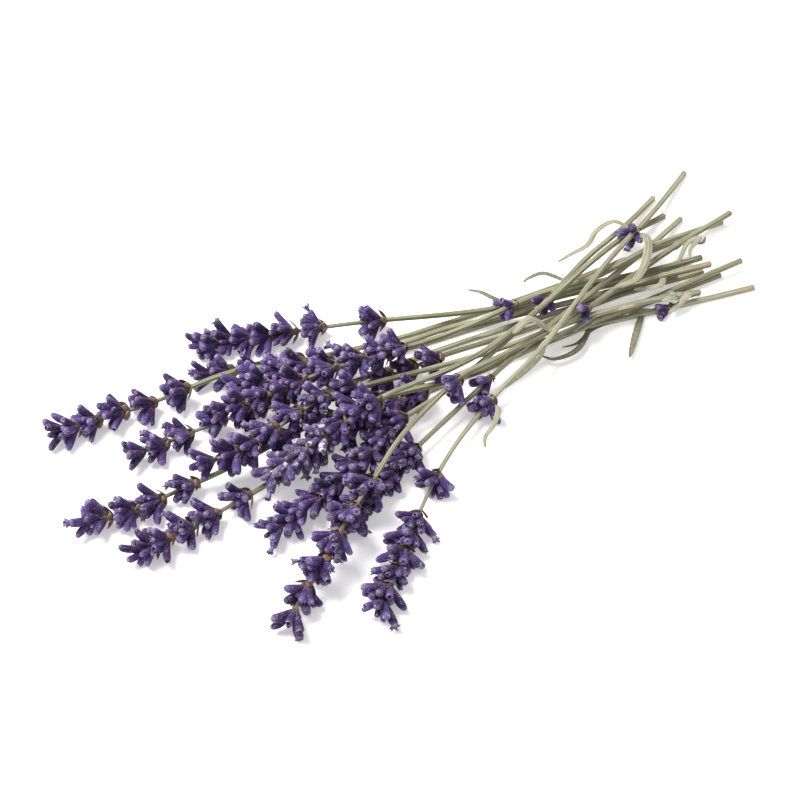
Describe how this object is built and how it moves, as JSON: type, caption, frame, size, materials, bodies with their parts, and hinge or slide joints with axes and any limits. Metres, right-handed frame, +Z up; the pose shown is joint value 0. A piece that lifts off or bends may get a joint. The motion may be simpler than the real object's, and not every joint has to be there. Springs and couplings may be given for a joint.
{
  "type": "bunch of dried lavender",
  "caption": "Loose bunch of dried lavender lying down: thin square grey-green stems crossing near their cut ends, purple flower heads fanned out at the other end.",
  "frame": {"origin": "on the surface the bunch lies on, under the middle of its box", "axes": "+X along the bunch from the flower heads to the cut ends, +Z up"},
  "size_m": [0.2444, 0.129, 0.022],
  "materials": {
    "stem": "matte, ribbed dried stalk",
    "flower": "matte, downy dried flower"
  },
  "bodies": {
    "root": {"stem_01": "stem", "head_01": "flower", "stem_02": "stem", "head_02": "flower", "stem_03": "stem", "head_03": "flower", "stem_04": "stem", "head_04": "flower", "stem_05": "stem", "head_05": "flower", "stem_06": "stem", "head_06": "flower", "stem_07": "stem", "head_07": "flower", "stem_08": "stem", "head_08": "flower", "stem_09": "stem", "head_09": "flower", "stem_10": "stem", "head_10": "flower", "stem_11": "stem", "head_11": "flower", "stem_12": "stem", "head_12": "flower", "stem_13": "stem", "head_13": "flower", "stem_14": "stem", "head_14": "flower", "stem_15": "stem", "head_15": "flower", "stem_16": "stem", "head_16": "flower"}
  },
  "joints": []
}
